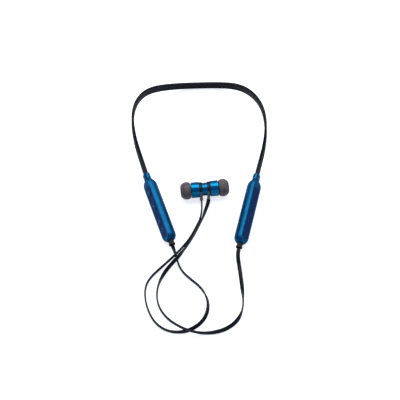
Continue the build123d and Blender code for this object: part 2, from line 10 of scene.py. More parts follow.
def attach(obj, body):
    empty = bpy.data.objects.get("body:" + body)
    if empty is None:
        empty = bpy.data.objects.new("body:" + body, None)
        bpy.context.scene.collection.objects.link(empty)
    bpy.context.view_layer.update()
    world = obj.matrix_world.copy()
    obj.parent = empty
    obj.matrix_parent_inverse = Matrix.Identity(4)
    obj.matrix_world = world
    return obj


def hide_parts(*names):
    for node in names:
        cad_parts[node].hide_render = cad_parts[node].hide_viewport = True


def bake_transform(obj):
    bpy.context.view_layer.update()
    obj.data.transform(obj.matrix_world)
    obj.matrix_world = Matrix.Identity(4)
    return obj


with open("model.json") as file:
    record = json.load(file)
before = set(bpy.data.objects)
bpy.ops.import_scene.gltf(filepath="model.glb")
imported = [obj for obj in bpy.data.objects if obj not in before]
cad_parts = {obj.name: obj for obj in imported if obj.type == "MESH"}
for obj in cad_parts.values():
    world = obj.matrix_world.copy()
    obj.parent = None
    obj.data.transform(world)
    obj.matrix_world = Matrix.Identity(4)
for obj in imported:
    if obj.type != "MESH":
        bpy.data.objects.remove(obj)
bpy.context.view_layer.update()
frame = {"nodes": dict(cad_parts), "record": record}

MM = 0.001
UP = Vector((0, 0, 1))

# ---- camera ------------------------------------------------------------------------------------------------
CAMERA_TARGET = Vector((0.5, -31.4, 0.0)) * MM
CAMERA_DISTANCE = 726.0 * MM
CAMERA_ELEVATION = 60.0
CAMERA_LENS = 85.0
CAMERA_CLIP = 0.01
LIGHTS = {  # place, size and watts
    "back_softbox": ((0.0, 0.5, 0.96), (1.5, 0.9), 11.0),
    "front_strip": ((0.0, -1.3, 0.35), (1.6, 0.25), 1.0),
}
FLOOR_GLOW = 0.72
FLOOR_SIZE = 3.0
WORLD_COLOUR = (0.44, 0.58, 1, 1)
WORLD_STRENGTH = 0.36

# ---- cables, in millimetres --------------------------------------------------------------------------------
LAY = 1.5  # height of a cable's middle where it lies on edge
CABLE_THICKNESS = 1.2
CABLE_WIDTH = 3.0
CABLE_CORNER = 0.45
CABLE_ROUTES = {
    "left": [
        (-20.05, -72.95, 5.4), (-19.0, -76.0, 5.2), (-17.9, -79.2, 4.2), (-16.9, -82.0, 2.9),
        (-16.0, -85.0, 1.9), (-14.7, -88.8, LAY), (-12.0, -93.6, LAY), (-7.0, -98.6, LAY),
        (-1.0, -103.6, LAY), (3.8, -109.6, LAY), (6.5, -116.8, LAY), (6.1, -124.6, LAY),
        (3.0, -131.4, LAY), (-2.7, -136.8, LAY), (-10.2, -140.2, LAY), (-18.4, -140.7, LAY),
        (-26.2, -138.0, LAY), (-32.2, -132.6, LAY), (-36.2, -125.4, LAY), (-38.8, -117.2, LAY),
        (-39.6, -109.2, LAY), (-38.5, -102.6, LAY), (-35.0, -96.8, LAY), (-29.8, -91.5, 1.8),
        (-24.6, -87.3, 3.6), (-19.9, -83.7, 5.9), (-15.2, -78.6, 6.1), (-11.0, -72.6, 4.4),
        (-7.6, -66.6, 2.3), (-4.6, -60.6, LAY), (-1.95, -54.8, LAY), (0.5, -49.2, LAY),
        (1.7, -43.4, 1.8), (1.95, -38.62, 3.2), (1.7, -34.2, 4.4),
    ],
    "right": [
        (29.35, -75.35, 5.4), (28.5, -79.2, 4.9), (28.6, -83.3, 3.6), (29.2, -87.4, 2.2),
        (29.9, -92.4, LAY), (30.6, -99.0, LAY), (31.3, -106.6, LAY), (31.8, -114.6, LAY),
        (31.4, -122.0, LAY), (29.2, -128.6, LAY), (24.8, -134.2, LAY), (18.6, -138.4, LAY),
        (11.2, -140.7, LAY), (3.6, -141.4, 1.6), (-2.4, -141.3, 3.2), (-7.2, -140.6, 4.9),
        (-12.2, -138.6, 4.9), (-17.0, -135.2, 3.3), (-21.6, -131.2, 1.7), (-25.6, -126.8, LAY),
        (-28.8, -121.6, LAY), (-30.6, -115.4, LAY), (-30.8, -108.6, LAY), (-29.4, -101.8, LAY),
        (-26.6, -95.8, 1.8), (-23.2, -91.2, 3.2), (-19.2, -87.0, 5.2), (-14.4, -81.3, 5.4),
        (-9.9, -74.2, 4.2), (-6.9, -68.2, 2.4), (-4.1, -62.6, LAY), (-1.65, -57.4, LAY),
        (0.8, -52.0, LAY), (3.2, -46.2, 1.6), (4.7, -41.4, 2.2), (6.5, -37.0, 3.4), (7.1, -33.5, 4.4),
    ],
}
# Each cable's turn in degrees at distances from its exit: 0 on edge, 90 flat, negative the other way round.
CABLE_TWISTS = {
    "left": [(0, 60), (6, 20), (14, 0), (42, 0), (52, -25), (64, -45), (80, -45), (90, -8), (96, 0),
             (223, 0)],
    "right": [(0, 60), (8, 80), (28, 62), (42, 0), (48, 0), (60, -60), (72, -50), (86, -8), (92, 0), (142, 0),
              (156, 45), (168, 45), (178, 0), (207, 0), (216, 35), (224.5, 60)],
}

# ---- strap, in millimetres ---------------------------------------------------------------------------------
STRAP_HEIGHT = 6.8
STRAP_THICKNESS = 2.0
STRAP_CORNER = 0.6
# The strap's lean in degrees, at shares of the way from its middle to either end.
STRAP_LEANS = [(0.0, 0.0), (0.35, 2.0), (0.7, 13.0), (0.9, 13.5), (1.0, 10.0)]
STRAP_STRAIGHT = [8.0, 5.5, 3.0, 0.5, -2.0]
STRAP_RIBS = [-2.1, -1.4, -0.7, 0.0, 0.7, 1.4, 2.1]
RIB_DEPTH = 0.05
RIB_WIDTH = 0.12
FLAT_SIDE = 0.9  # points further than this from the strap's middle plane are on its broad faces
STRAP_GUIDE = [
    (-45.5, 1.5, 6.8), (-49.2, 10.5, 13.5), (-52.4, 24.5, 20.5), (-52.0, 40.0, 23.0), (-44.5, 57.5, 19.0),
    (-29.5, 69.0, 9.5), (-11.0, 75.0, 3.5), (4.0, 75.6, 3.4), (18.0, 75.8, 3.4), (33.0, 69.0, 10.5),
    (44.0, 54.0, 19.0), (50.8, 37.0, 23.0), (52.2, 20.0, 20.0), (50.2, 7.5, 13.0), (47.7, -0.5, 7.0),
]

# ---- casings, in millimetres along each casing from its sleeve's mouth -------------------------------------
CASING_RADIUS = 5.4
FLAT_OFFSET = 3.5
PANEL_PROUD = 0.06
CASING_ROLLS = {"left": 31.0, "right": 40.0}
SLEEVE_ROLL = 9.5
SLEEVE_LENGTH = 6.0
SLEEVE_RADII = (2.75, 4.15)
SLEEVE_GAP = 0.3  # groove between the sleeve and the housing
SLEEVE_END_EDGE = [(0, 0.25), (0.08, 0.08), (0.25, 0)]  # back from the sleeve's end, and inset
SLEEVE_MOUTH_EDGE = [(0.25, 0.08), (0.1, 0.22), (0, 0.45)]  # in from its mouth, and inset
SLEEVE_STRAIGHT_START = 0.5
SLEEVE_STEPS = 8
SLEEVE_SLOT = [(0, 0.12), (0.15, 0.03)]  # in from its mouth, and room round the strap
SLOT_SQUARENESS = 8
SHOULDER_LENGTH = 5.4
SHOULDER_START = (2.9, 4.3)
HOUSING_END = 60.6
CASING_END = 64.4
END_ROUNDING = 3.7
END_REACH = 5.2
ROUND_STEPS = 14
STRAIGHT_STEPS = 20
SHOULDER_SPACING = 1.6  # above 1, sections crowd towards the shoulder's wide end
SHOULDER_FULLNESS = 2.4
FLAT_EDGE = 0.22
WALL = 1.1
HOLLOW_FLAT = 1.6
HOLLOW_MARGINS = (1.4, 2.0)  # from the housing's two ends
KEY_WELL = (3, 5.2, 0.5)  # how much shorter than the panel, how wide, and the height of its floor
PANEL_SPAN = (11.5, 57.3)
PANEL_WIDTH = 6.5
PANEL_THICKNESS = 0.9
PANEL_GAP = 0.1
PANEL_EDGE = [(-0.12, 0), (-0.035, 0.035), (0, 0.12)]  # height from its top, and inset
KEYS = {"volume_up": 17.0, "play": 29.8, "volume_down": 43.2}
KEY_SIZE = (6.2, 2.9)
KEY_GAP = 0.1
KEY_PROUD = 0.4
KEY_DEPTH = 0.35
KEY_CROWN = [(-0.16, 0), (-0.05, 0.05), (0, 0.16), (0.01, 0.6), (0.015, 1.1)]  # as the panel's edge
MARK_HEIGHT = 0.01
MARK_LEVELS = [(-0.02, 0), (0.03, 0), (0.05, 0.03)]
MARK_SIZE = (1.9, 0.42)
PLAY_CORNERS = [(-0.75, -0.75), (0.85, 0), (-0.75, 0.75)]
LED_STATION = 49.8
LED_RADIUS = 0.65
LED_STRETCH = 0.01  # a lens as long as it is wide has no straight sides
LED_GAPS = (0.11, 0.1)
LED_DOME = [(-0.05, 0), (0, 0.08), (0.03, 0.3)]
POCKET_SPAN = (36.68, 47.32)  # the recess of the charging cover
POCKET_FLOOR = -4.1
POCKET_SIDES = (-2.32, 2.5)
SOCKET_HOLE = ((38.25, 45.75), (-5.1, -0.4), (-1.4, 1.4))
RELIEF_PLUG = (1.9, 1.6)  # how far it reaches into the housing, and its half size there
RELIEF_STEP = 0.05
RELIEF_SHOULDER = (2.0, 1.7)  # half sizes
RELIEF_HALF_SIZE = (2.2, 1.9)
RELIEF_TAPER = 0.35
RELIEF_TAPER_SPAN = (0.15, 2.7)
RELIEF_ROUNDNESS = 0.75
RELIEF_GROOVES = [0.7, 1.7]
GROOVE_WIDTH = 0.5
GROOVE_DEPTH = 0.3
GROOVE_UNDERCUT = 0.06
# Back from the relief's end, and the half sizes there.
RELIEF_FLANGE = [(0.95, 2.25, 1.95), (0.8, 2.4, 2.1), (0.15, 2.4, 2.1), (0, 2.25, 1.95)]
FACE_STATIONS = {"left": 54.0, "right": 34.0}  # where the record's flat faces are measured

# ---- earbuds, in millimetres outwards from the plane between the magnets -----------------------------------
CAP_SPAN = (0.06, 1.95)
CAP_RADIUS = 5.0
CAP_ROUNDING = 0.18
CAP_NECK_END = 5.0
CAP_NECK_RADII = (2.6, 3.4)
MAGNET_POCKET = (0.5, 1.7)
MAGNET_POCKET_RADIUS = 4.25
RING_END = 4.25
RING_RADIUS = 5.6
RING_ROUNDING = 0.25
BOOT_DEPTH = 1.6
BOOT_ROUNDNESS = 0.8
# Along the boot, its half width, and its height above the cable's middle. The mouth's run back from its end.
BOOT_ROOT = [(3.0, 0.9, 4.6), (4.0, 0.95, 4.4), (5.2, 1.0, 3.4), (6.2, 1.05, 2.3)]
BOOT_MOUTH = [(1.35, 1.12, 1.4), (1.15, 1.25, 1.38), (0.15, 1.27, 1.4), (0, 1.12, 1.25)]
NECK_RADIUS = 3.45  # the hole through the ring and into the barrel
BARREL_WALL = 0.7
BARREL_FLOOR = 0.75
BARREL_ROUNDING = 0.32
BARREL_END = 10.4
BARREL_RADIUS = 6.0
# The ear tip's control points, along and out from its axis.
TIP_OUTSIDE = [
    (10.8, 5.3), (11.0, 6.0), (12.6, 6.65), (15.0, 6.85), (17.2, 5.7), (18.4, 4.3), (18.7, 3.2), (18.4, 2.7),
    (17.6, 2.7),
]
TIP_INSIDE = [(17.6, 3.2), (17.2, 3.3), (16.3, 4.7), (14.8, 5.8), (12.9, 5.95), (11.4, 5.5), (10.9, 4.9)]
TIP_CORE = [(10.8, 2.5), (10.8, 3.15), (17.55, 3.15), (17.55, 2.5)]
CORE_ROUNDING = 0.2

# ---- meshes and materials ----------------------------------------------------------------------------------
AROUND = 96
CORNER_STEPS = 4
PILL_END_STEPS = 12
EDGE_SHARE = 2.2  # a corner's curve starts at most an edge's length over this away
MERGE_DISTANCE = 1e-7
NOISE_DETAIL = 3.0
NOISE_RANGE = (0.3, 0.7)


# ---- materials ---------------------------------------------------------------------------------------------
def linear(code):
    """A display colour such as "1478b4" as the linear values that a shader takes."""
    shares = [int(code[i:i + 2], 16) / 255 for i in (0, 2, 4)]
    return [c / 12.92 if c <= 0.04045 else ((c + 0.055) / 1.055) ** 2.4 for c in shares] + [1.0]


class Finish:
    """A Principled material with its own noise for colour, gloss and relief."""

    def __init__(self, name, colour, roughness, metallic=0.0, **settings):
        self.material = bpy.data.materials.new(name)
        self.material.use_nodes = True
        self.nodes = self.material.node_tree.nodes
        self.links = self.material.node_tree.links
        self.shader = self.nodes["Principled BSDF"]
        self.shader.inputs["Base Color"].default_value = linear(colour)
        self.shader.inputs["Roughness"].default_value = roughness
        self.shader.inputs["Metallic"].default_value = metallic
        for socket, value in settings.items():
            self.shader.inputs[socket.replace("_", " ")].default_value = value
        self.place = self.nodes.new("ShaderNodeTexCoord").outputs["Object"]

    def noise(self, size):
        """Noise with features of about that size in millimetres."""
        texture = self.nodes.new("ShaderNodeTexNoise")
        texture.inputs["Scale"].default_value = 1 / (size * MM)
        texture.inputs["Detail"].default_value = NOISE_DETAIL
        self.links.new(self.place, texture.inputs["Vector"])
        return texture.outputs["Fac"]

    def lines(self, attribute, pitch):
        """A wave along one of the mesh's own coordinates, in millimetres."""
        source = self.nodes.new("ShaderNodeAttribute")
        source.attribute_name = attribute
        scale = self.nodes.new("ShaderNodeMath")
        scale.operation = "MULTIPLY"
        scale.inputs[1].default_value = 2 * math.pi / pitch
        wave = self.nodes.new("ShaderNodeMath")
        wave.operation = "SINE"
        self.links.new(source.outputs["Fac"], scale.inputs[0])
        self.links.new(scale.outputs[0], wave.inputs[0])
        return wave.outputs[0]

    def colours(self, value, low, high):
        """The base colour runs between two colours with the value."""
        ramp = self.nodes.new("ShaderNodeValToRGB")
        for element, position, colour in zip(ramp.color_ramp.elements, NOISE_RANGE, (low, high)):
            element.position = position
            element.color = linear(colour)
        self.links.new(value, ramp.inputs["Fac"])
        self.links.new(ramp.outputs["Color"], self.shader.inputs["Base Color"])
        return self

    def gloss(self, value, low, high):
        """The roughness runs between two values."""
        node = self.nodes.new("ShaderNodeMapRange")
        for socket, number in zip(("From Min", "From Max", "To Min", "To Max"), (*NOISE_RANGE, low, high)):
            node.inputs[socket].default_value = number
        self.links.new(value, node.inputs["Value"])
        self.links.new(node.outputs["Result"], self.shader.inputs["Roughness"])
        return self

    def relief(self, value, height):
        """Bump of about that height in millimetres."""
        bump = self.nodes.new("ShaderNodeBump")
        bump.inputs["Strength"].default_value = 1.0
        bump.inputs["Distance"].default_value = height * MM
        self.links.new(value, bump.inputs["Height"])
        if self.shader.inputs["Normal"].is_linked:
            self.links.new(self.shader.inputs["Normal"].links[0].from_socket, bump.inputs["Normal"])
        self.links.new(bump.outputs["Normal"], self.shader.inputs["Normal"])
        return self


def strap_rubber():
    finish = Finish("strap_rubber", "090a0d", 0.5, Specular_IOR_Level=0.2)
    finish.colours(finish.noise(9), "07080b", "0c0d11")
    finish.gloss(finish.noise(2.5), 0.44, 0.56)
    finish.relief(finish.lines("across", 0.45), 0.02)
    return finish.relief(finish.noise(0.25), 0.012).material


def cable_jacket():
    finish = Finish("cable_jacket", "0e0f12", 0.42, Specular_IOR_Level=0.3)
    finish.colours(finish.noise(12), "0b0c0f", "111216")
    finish.gloss(finish.noise(3), 0.34, 0.46)
    return finish.relief(finish.noise(0.3), 0.01).material


def black_rubber():
    finish = Finish("black_rubber", "101113", 0.45, Specular_IOR_Level=0.35)
    finish.colours(finish.noise(4), "0b0c0e", "141518")
    finish.gloss(finish.noise(1.2), 0.4, 0.55)
    return finish.relief(finish.noise(0.2), 0.012).material


# The boot is the same black rubber as the ring. Its grey colour is a painted highlight along the lit boot.
def boot_rubber_painted_highlight():
    finish = Finish("boot_rubber_painted_highlight", "5f6065", 0.36)
    finish.colours(finish.noise(3), "595a5f", "66676c")
    finish.gloss(finish.noise(0.9), 0.3, 0.4)
    return finish.relief(finish.noise(0.2), 0.01).material


def blue_shell():
    finish = Finish("blue_shell", "0f5b84", 0.4, metallic=0.88, Specular_IOR_Level=0.1)
    finish.colours(finish.noise(6), "0d567d", "11618c")
    finish.gloss(finish.noise(0.8), 0.36, 0.44)
    return finish.relief(finish.noise(0.12), 0.003).material


# The panel is the same blue lacquer as the shell. Its darker blue is painted shade for a face turned away
# from the light.
def blue_panel():
    finish = Finish("blue_panel", "153a68", 0.42, metallic=0.9, Specular_IOR_Level=0.1)
    finish.colours(finish.noise(5), "123562", "183f6e")
    finish.gloss(finish.noise(1.0), 0.38, 0.48)
    return finish.relief(finish.noise(0.15), 0.004).material


def blue_keys():
    finish = Finish("blue_keys", "1a4272", 0.38, metallic=0.9, Specular_IOR_Level=0.1)
    finish.colours(finish.noise(3), "173c6a", "1e497b")
    finish.gloss(finish.noise(0.9), 0.34, 0.44)
    return finish.relief(finish.noise(0.15), 0.004).material


def key_print():
    finish = Finish("key_print", "5f7fa8", 0.5)
    finish.colours(finish.noise(0.7), "54749d", "6b8ab2")
    return finish.gloss(finish.noise(0.4), 0.45, 0.6).material


def blue_metal():
    finish = Finish("blue_metal", "1078a2", 0.28, metallic=1.0)
    finish.colours(finish.noise(5), "0e719a", "1280ab")
    finish.gloss(finish.noise(0.6), 0.24, 0.32)
    return finish.relief(finish.lines("along", 0.16), 0.002).material


def tip_silicone():
    finish = Finish(
        "tip_silicone", "978983", 0.4, Transmission_Weight=0.55, IOR=1.3, Subsurface_Weight=0.15,
        Subsurface_Scale=0.003,
    )
    finish.colours(finish.noise(4), "8c7f7a", "a0928c")
    finish.gloss(finish.noise(0.8), 0.34, 0.46)
    return finish.relief(finish.noise(0.3), 0.008).material


def tip_core():
    finish = Finish("tip_core", "8a5f5c", 0.45, Subsurface_Weight=0.3, Subsurface_Scale=0.002)
    finish.colours(finish.noise(2), "7e5553", "966a66")
    return finish.gloss(finish.noise(0.7), 0.4, 0.5).material


def plain(name, colour, other, roughness, metallic=0.0, grain=1.0, height=0.005):
    """An inner piece's finish: two close colours, uneven gloss and a fine grain."""
    finish = Finish(name, colour, roughness, metallic=metallic)
    finish.colours(finish.noise(3 * grain), colour, other)
    finish.gloss(finish.noise(grain), 0.85 * roughness, 1.15 * roughness)
    return finish.relief(finish.noise(0.2 * grain), height).material


MATERIALS = {
    "strap_rubber": strap_rubber(),
    "cable_jacket": cable_jacket(),
    "black_rubber": black_rubber(),
    "boot_rubber_painted_highlight": boot_rubber_painted_highlight(),
    "blue_shell": blue_shell(),
    "blue_panel": blue_panel(),
    "blue_keys": blue_keys(),
    "key_print": key_print(),
    "blue_metal": blue_metal(),
    "tip_silicone": tip_silicone(),
    "tip_core": tip_core(),
    "spring_steel": plain("spring_steel", "8b8f93", "a2a6aa", 0.3, metallic=1.0),
    "conductors": plain("conductors", "9a5a2c", "b06c38", 0.4, metallic=0.8),
    "anchor_plastic": plain("anchor_plastic", "24262a", "2e3034", 0.5),
    "board": plain("board", "14502f", "1b6440", 0.45, height=0.01),
    "switch_metal": plain("switch_metal", "a7a9ab", "c2c4c6", 0.3, metallic=1.0),
    "lens": plain("lens", "2b4a78", "35588a", 0.3),
    "cell_pouch": plain("cell_pouch", "b4b8bb", "c6cacd", 0.38, metallic=0.7, height=0.02),
    "foam": plain("foam", "2b2d30", "3a3c40", 0.9, height=0.08),
    "magnet_plate": plain("magnet_plate", "8e9295", "a9adb0", 0.28, metallic=1.0),
    "nozzle_plastic": plain("nozzle_plastic", "17181b", "202226", 0.45),
    "mesh": plain("mesh", "3a3b3d", "5a5c5e", 0.4, metallic=0.9, grain=0.5, height=0.05),
}


# ---- mesh helpers ------------------------------------------------------------------------------------------
def shape(rings, looped=False, across=None, along=None):
    """A mesh with quads between rings of points, in millimetres, capped unless its rings loop round."""
    mesh = bmesh.new()
    side = mesh.verts.layers.float.new("across")
    length = mesh.verts.layers.float.new("along")
    loops = [[mesh.verts.new(Vector(point) * MM) for point in ring] for ring in rings]
    for i, loop in enumerate(loops):
        for j, vertex in enumerate(loop):
            vertex[side] = across[j] if across else 0.0
            vertex[length] = along[i] if along else 0.0
    pairs = list(zip(loops, loops[1:])) + ([(loops[-1], loops[0])] if looped else [])
    for low, high in pairs:
        for j in range(len(low)):
            k = (j + 1) % len(low)
            mesh.faces.new((low[j], low[k], high[k], high[j]))
    if not looped:
        mesh.faces.new(loops[0])
        mesh.faces.new(loops[-1])
    return mesh


def lathe(profile, looped=False):
    """Turn (x, radius) points about the X axis."""
    turns = [2 * math.pi * i / AROUND for i in range(AROUND)]
    rings = [[(x, r * math.cos(t), r * math.sin(t)) for t in turns] for x, r in profile]
    mesh = shape(rings, looped, along=[x for x, r in profile])
    bmesh.ops.remove_doubles(mesh, verts=mesh.verts, dist=MERGE_DISTANCE)
    return mesh


def rounded(points, radius, closed=False):
    """The points with each corner turned into a small curve that starts the radius before it."""
    count = len(points)
    result = []
    for i, point in enumerate(points):
        if not closed and i in (0, count - 1):
            result.append(Vector(point))
            continue
        corner, before, after = Vector(point), Vector(points[i - 1]), Vector(points[(i + 1) % count])
        reach = min(radius, (before - corner).length / EDGE_SHARE, (after - corner).length / EDGE_SHARE)
        start = corner + (before - corner).normalized() * reach
        end = corner + (after - corner).normalized() * reach
        for step in range(CORNER_STEPS + 1):
            t = step / CORNER_STEPS
            result.append(start * (1 - t) ** 2 + corner * 2 * t * (1 - t) + end * t ** 2)
    return result


def rounded_rectangle(half_width, half_height, corner, corner_steps=CORNER_STEPS, side_steps=1):
    """Points (across, up) round a rectangle, starting at its right side."""
    points = []
    middles = [(1, 1), (-1, 1), (-1, -1), (1, -1)]
    for quarter, (right, top) in enumerate(middles):
        centre = Vector((right * (half_width - corner), top * (half_height - corner)))
        for step in range(corner_steps + 1):
            turn = math.pi / 2 * (quarter + step / corner_steps)
            points.append(centre + Vector((math.cos(turn), math.sin(turn))) * corner)
        following = middles[(quarter + 1) % 4]
        turn = math.pi / 2 * (quarter + 1)
        target = Vector((following[0] * (half_width - corner), following[1] * (half_height - corner)))
        target += Vector((math.cos(turn), math.sin(turn))) * corner
        start = points[-1]
        points += [start.lerp(target, step / side_steps) for step in range(1, side_steps)]
    return points


def slot_outline(length, width):
    """Points (x, z) round a plate with round ends."""
    radius, half = width / 2, (length - width) / 2
    points = []
    for end, first in ((half, -90), (-half, 90)):
        for step in range(PILL_END_STEPS + 1):
            turn = math.radians(first + 180 * step / PILL_END_STEPS)
            points.append((end + radius * math.cos(turn), radius * math.sin(turn)))
    return points


def pill(centre, length, width, levels):
    """A plate with round ends across X and Z, with an outline at each (y, inset) level."""
    rings = []
    for y, inset in levels:
        outline = slot_outline(length - 2 * inset, width - 2 * inset)
        rings.append([(centre + x, y, z) for x, z in outline])
    return shape(rings)


def block(x, y, z):
    """A block from (low, high) pairs, for cutting."""
    corners = [(y[0], z[0]), (y[1], z[0]), (y[1], z[1]), (y[0], z[1])]
    return shape([[(station, *corner) for corner in corners] for station in x])


def spline(points, order, resolution=12):
    """Points along the clamped NURBS curve with those control points, in their own unit."""
    curve = bpy.data.curves.new("route", "CURVE")
    curve.dimensions = "3D"
    line = curve.splines.new("NURBS")
    line.points.add(len(points) - 1)
    for control, point in zip(line.points, points):
        control.co = (*point, 1.0)
    line.order_u = order
    line.use_endpoint_u = True
    line.resolution_u = resolution
    holder = bpy.data.objects.new("route", curve)
    bpy.context.scene.collection.objects.link(holder)
    bpy.context.view_layer.update()
    sampled = bpy.data.meshes.new_from_object(holder.evaluated_get(bpy.context.evaluated_depsgraph_get()))
    result = [vertex.co.copy() for vertex in sampled.vertices]
    bpy.data.objects.remove(holder)
    return result


def directions(points):
    """The unit direction of a line at each of its points."""
    last = len(points) - 1
    return [(points[min(i + 1, last)] - points[max(i - 1, 0)]).normalized() for i in range(last + 1)]


def distances(points):
    """How far along a line each of its points is."""
    total = [0.0]
    for before, after in zip(points, points[1:]):
        total.append(total[-1] + (after - before).length)
    return total


def between(table, place):
    """A smooth value between the rows of a table of (place, value)."""
    for (low, first), (high, second) in zip(table, table[1:]):
        if place <= high:
            t = (place - low) / (high - low)
            return first + (second - first) * t * t * (3 - 2 * t)
    return table[-1][1]


def piece(name, mesh, material, body, nodes=(), at=None, crease=35):
    """Put a mesh in the scene: placed, shaded, riding on its body and standing for CAD nodes."""
    if at is not None:
        bmesh.ops.transform(mesh, matrix=at, verts=mesh.verts)
    bmesh.ops.recalc_face_normals(mesh, faces=mesh.faces)
    data = bpy.data.meshes.new(name)
    mesh.to_mesh(data)
    mesh.free()
    data.materials.append(MATERIALS[material])
    obj = bpy.data.objects.new(name, data)
    bpy.context.scene.collection.objects.link(obj)
    shade(obj, crease)
    if body:
        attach(obj, body)
    if nodes:
        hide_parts(*nodes)
    return obj


def shade(obj, crease):
    for polygon in obj.data.polygons:
        polygon.use_smooth = True
    obj.data.set_sharp_from_angle(angle=math.radians(crease))


def joined(mesh, other, operation):
    """Combine two closed meshes: DIFFERENCE cuts the second from the first, UNION adds it."""
    objects = []
    for part in (mesh, other):
        bmesh.ops.recalc_face_normals(part, faces=part.faces)
        data = bpy.data.meshes.new("part")
        part.to_mesh(data)
        part.free()
        objects.append(bpy.data.objects.new("part", data))
        bpy.context.scene.collection.objects.link(objects[-1])
    modifier = objects[0].modifiers.new("join", "BOOLEAN")
    modifier.operation = operation
    modifier.solver = "EXACT"
    modifier.object = objects[1]
    bpy.context.view_layer.update()
    made = bpy.data.meshes.new_from_object(objects[0].evaluated_get(bpy.context.evaluated_depsgraph_get()))
    result = bmesh.new()
    result.from_mesh(made)
    for obj in objects:
        bpy.data.objects.remove(obj)
    bpy.data.meshes.remove(made)
    return result


def weighted(obj):
    """Keep broad faces evenly shaded beside small roundings."""
    modifier = obj.modifiers.new("even_shading", "WEIGHTED_NORMAL")
    modifier.keep_sharp = True
    modifier.weight = 100
    return obj


# ---- places from the frame ---------------------------------------------------------------------------------
def mount(name):
    return next(m for m in frame["record"]["mounts"] if m["name"] == name)


def placement(x, y, z, origin):
    """The matrix that takes a piece's own X, Y and Z to those directions, from that origin in metres."""
    matrix = Matrix((x, y, z)).transposed().to_4x4()
    matrix.translation = origin
    return matrix


def casing_frame(side, roll=None):
    """X along a casing from its sleeve's mouth, Y out of its flat face or at another roll, in degrees."""
    face = mount(f"{side}_casing_face")
    normal = Vector(face["axis"])
    outwards = Vector((normal.x, normal.y, 0)).normalized()
    along = UP.cross(outwards) if side == "left" else outwards.cross(UP)
    origin = Vector(face["pos_m"]) - normal * (FLAT_OFFSET + PANEL_PROUD) * MM
    origin -= along * FACE_STATIONS[side] * MM
    turn = math.radians(CASING_ROLLS[side] if roll is None else roll)
    return placement(
        along,
        outwards * math.cos(turn) + UP * math.sin(turn),
        UP * math.cos(turn) - outwards * math.sin(turn),
        origin,
    )


def earbud_frame(side):
    """X outwards along the pair's axis, from the plane between the magnets."""
    ends = {name: Vector(mount(f"{name}_tip_mouth")["pos_m"]) for name in ("left", "right")}
    rightwards = (ends["right"] - ends["left"]).normalized()
    back = UP.cross(rightwards)
    x = -rightwards if side == "left" else rightwards
    return placement(x, back, UP, (ends["left"] + ends["right"]) / 2)


# ---- camera, floor and light -------------------------------------------------------------------------------
def aim(obj, target):
    obj.rotation_mode = "QUATERNION"
    obj.rotation_quaternion = (target - obj.location).to_track_quat("-Z", "Y")


def add_camera():
    camera = bpy.data.objects.new("camera", bpy.data.cameras.new("camera"))
    camera.data.lens = CAMERA_LENS
    camera.data.clip_start = CAMERA_CLIP
    elevation = math.radians(CAMERA_ELEVATION)
    camera.location = CAMERA_TARGET + Vector((0, -math.cos(elevation), math.sin(elevation))) * CAMERA_DISTANCE
    aim(camera, CAMERA_TARGET)
    bpy.context.scene.collection.objects.link(camera)
    bpy.context.scene.camera = camera


def add_light(name, place, size, power):
    light = bpy.data.lights.new(name, "AREA")
    light.shape = "RECTANGLE"
    light.size, light.size_y = size
    light.energy = power
    obj = bpy.data.objects.new(name, light)
    obj.location = place
    aim(obj, CAMERA_TARGET)
    bpy.context.scene.collection.objects.link(obj)


def add_stage():
    mesh = bmesh.new()
    bmesh.ops.create_grid(mesh, x_segments=1, y_segments=1, size=FLOOR_SIZE)
    data = bpy.data.meshes.new("floor")
    mesh.to_mesh(data)
    mesh.free()
    floor = bpy.data.objects.new("floor", data)
    bpy.context.scene.collection.objects.link(floor)
    finish = Finish("floor", "f4f4f4", 0.9, Specular_IOR_Level=0.1)
    # The floor glows for the camera alone, so it looks white and shines no light up at the pieces.
    path = finish.nodes.new("ShaderNodeLightPath")
    glow = finish.nodes.new("ShaderNodeMath")
    glow.operation = "MULTIPLY"
    glow.inputs[1].default_value = FLOOR_GLOW
    finish.links.new(path.outputs["Is Camera Ray"], glow.inputs[0])
    finish.links.new(glow.outputs[0], finish.shader.inputs["Emission Strength"])
    finish.shader.inputs["Emission Color"].default_value = (1, 1, 1, 1)
    data.materials.append(finish.material)
    for name, (place, size, power) in LIGHTS.items():
        add_light(name, place, size, power)
    world = bpy.data.worlds.new("studio")
    world.use_nodes = True
    background = world.node_tree.nodes["Background"]
    background.inputs["Color"].default_value = WORLD_COLOUR
    background.inputs["Strength"].default_value = WORLD_STRENGTH
    bpy.context.scene.world = world
    bpy.context.scene.view_settings.view_transform = "Standard"


# ---- cables ------------------------------------------------------------------------------------------------
def add_cable(side):
    route = spline([Vector(point) for point in CABLE_ROUTES[side]], order=3)
    outline = rounded_rectangle(CABLE_THICKNESS / 2, CABLE_WIDTH / 2, CABLE_CORNER, side_steps=3)
    along = directions(route)
    length = distances(route)
    rings = []
    for point, direction, distance in zip(route, along, length):
        sideways = direction.cross(UP).normalized()
        upwards = sideways.cross(direction)
        twist = math.radians(between(CABLE_TWISTS[side], distance))
        thin = sideways * math.cos(twist) + upwards * math.sin(twist)
        wide = upwards * math.cos(twist) - sideways * math.sin(twist)
        rings.append([point + thin * a + wide * b for a, b in outline])
    mesh = shape(rings, across=[b for a, b in outline])
    cable = piece(f"{side}_flat_cable", mesh, "cable_jacket", None)
    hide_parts(f"{side}_cable")
    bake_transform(cable)


